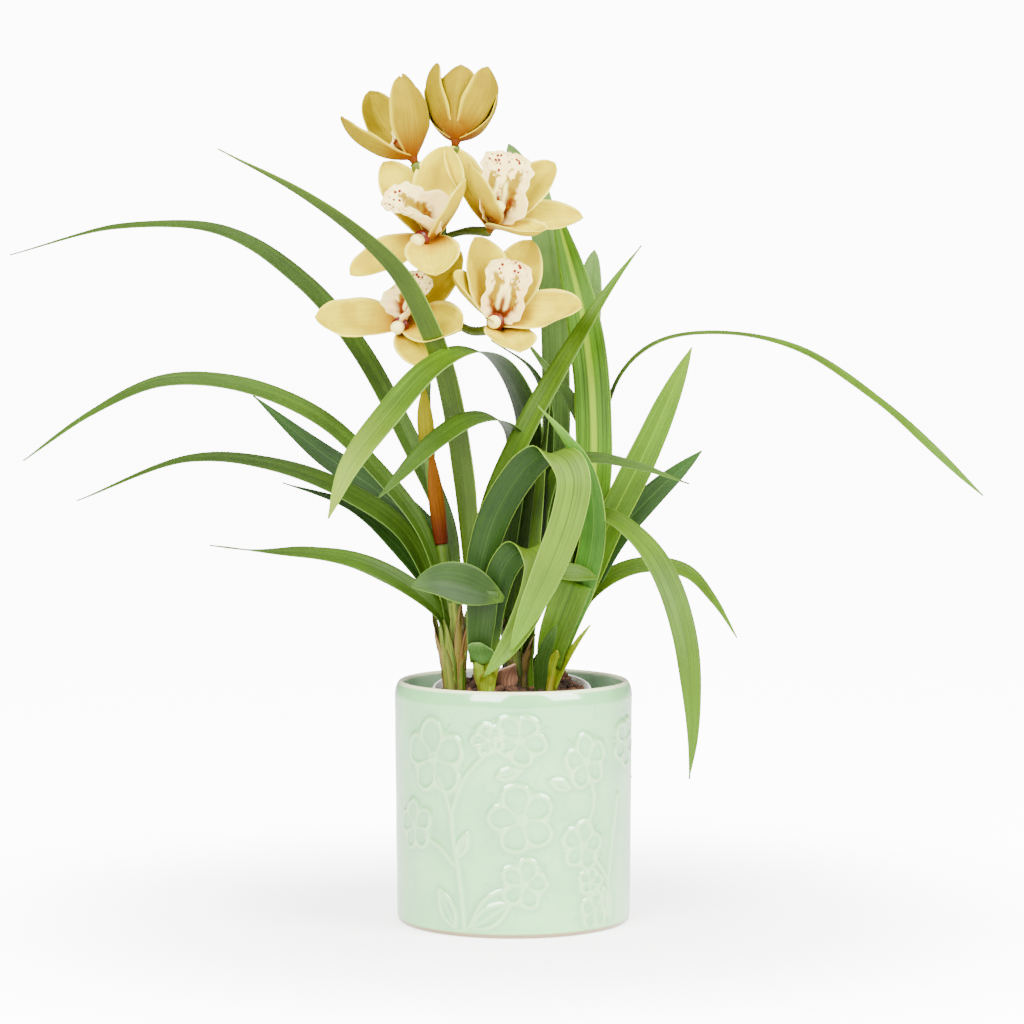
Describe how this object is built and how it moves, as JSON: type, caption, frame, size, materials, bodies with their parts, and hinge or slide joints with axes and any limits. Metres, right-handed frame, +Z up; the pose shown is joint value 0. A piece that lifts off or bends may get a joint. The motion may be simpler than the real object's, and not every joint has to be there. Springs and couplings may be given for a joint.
{
  "type": "potted orchid",
  "caption": "Cymbidium orchid with strap leaves and a spray of yellow blooms, growing in bark in a plastic nursery pot that stands in a glazed ceramic pot.",
  "frame": {"origin": "centre of the ceramic pot's flat underside", "axes": "+Z up out of the pot, -Y towards the viewer of the picture, +X to that viewer's right, the way the longest leaves spread"},
  "size_m": [0.6376, 0.2231, 0.5387],
  "materials": {
    "celadon_glaze": "pale green celadon glaze, glossy, with raised flower sprigs",
    "white_plastic": "plain white polypropylene",
    "bark": "coarse dark brown bark chips",
    "leaf_base": "striped green and tan leaf bases over a pseudobulb",
    "stem": "smooth olive green stem",
    "bract_yellow": "thin yellow-green bract",
    "bract_orange": "thin drying orange bract",
    "dry_scale": "papery brown scale",
    "petal": "waxy pale yellow, finely veined",
    "lip": "waxy cream with yellow keels and red spots",
    "column": "waxy cream",
    "leaf": "smooth leathery green with fine lengthwise ribs"
  },
  "bodies": {
    "root": {"ceramic_pot": "celadon_glaze", "nursery_pot": "white_plastic", "potting_bark": "bark", "bloom_lower_left_column": "column", "bloom_lower_left_lip": "lip", "bloom_lower_left_tepals": "petal", "bloom_lower_right_column": "column", "bloom_lower_right_lip": "lip", "bloom_lower_right_tepals": "petal", "bloom_top_left_column": "column", "bloom_top_left_lip": "lip", "bloom_top_left_tepals": "petal", "bloom_top_right_column": "column", "bloom_top_right_lip": "lip", "bloom_top_right_tepals": "petal", "bloom_upper_left_column": "column", "bloom_upper_left_lip": "lip", "bloom_upper_left_tepals": "petal", "bloom_upper_right_column": "column", "bloom_upper_right_lip": "lip", "bloom_upper_right_tepals": "petal", "bract_orange": "bract_orange", "bract_yellow": "bract_yellow", "flower_stem": "stem", "leaf_arch_front_left": "leaf", "leaf_arch_low_left": "leaf", "leaf_bright_right": "leaf", "leaf_broad_right": "leaf", "leaf_collar_front": "leaf", "leaf_dark_left": "leaf", "leaf_dark_right": "leaf", "leaf_diagonal_back": "leaf", "leaf_diagonal_right": "leaf", "leaf_drooping_right": "leaf", "leaf_fold_front": "leaf", "leaf_hooked_back": "leaf", "leaf_level_right": "leaf", "leaf_long_left_lower": "leaf", "leaf_long_left_top": "leaf", "leaf_long_left_upper": "leaf", "leaf_long_right": "leaf", "leaf_low_left": "leaf", "leaf_low_right": "leaf", "leaf_shoot_right": "leaf", "leaf_short_dark": "leaf", "leaf_short_fold_left": "leaf", "leaf_short_middle": "leaf", "leaf_stub_right": "leaf", "leaf_tall_back": "leaf", "leaf_tall_left": "leaf", "leaf_tall_right": "leaf", "leaf_thin_arch": "leaf", "leaf_thin_left": "leaf", "leaf_tip_behind_fold": "leaf", "pseudobulb_front": "leaf_base", "pseudobulb_left": "leaf_base", "pseudobulb_middle": "leaf_base", "pseudobulb_right": "leaf_base", "scale_brown_middle": "dry_scale"}
  },
  "joints": []
}
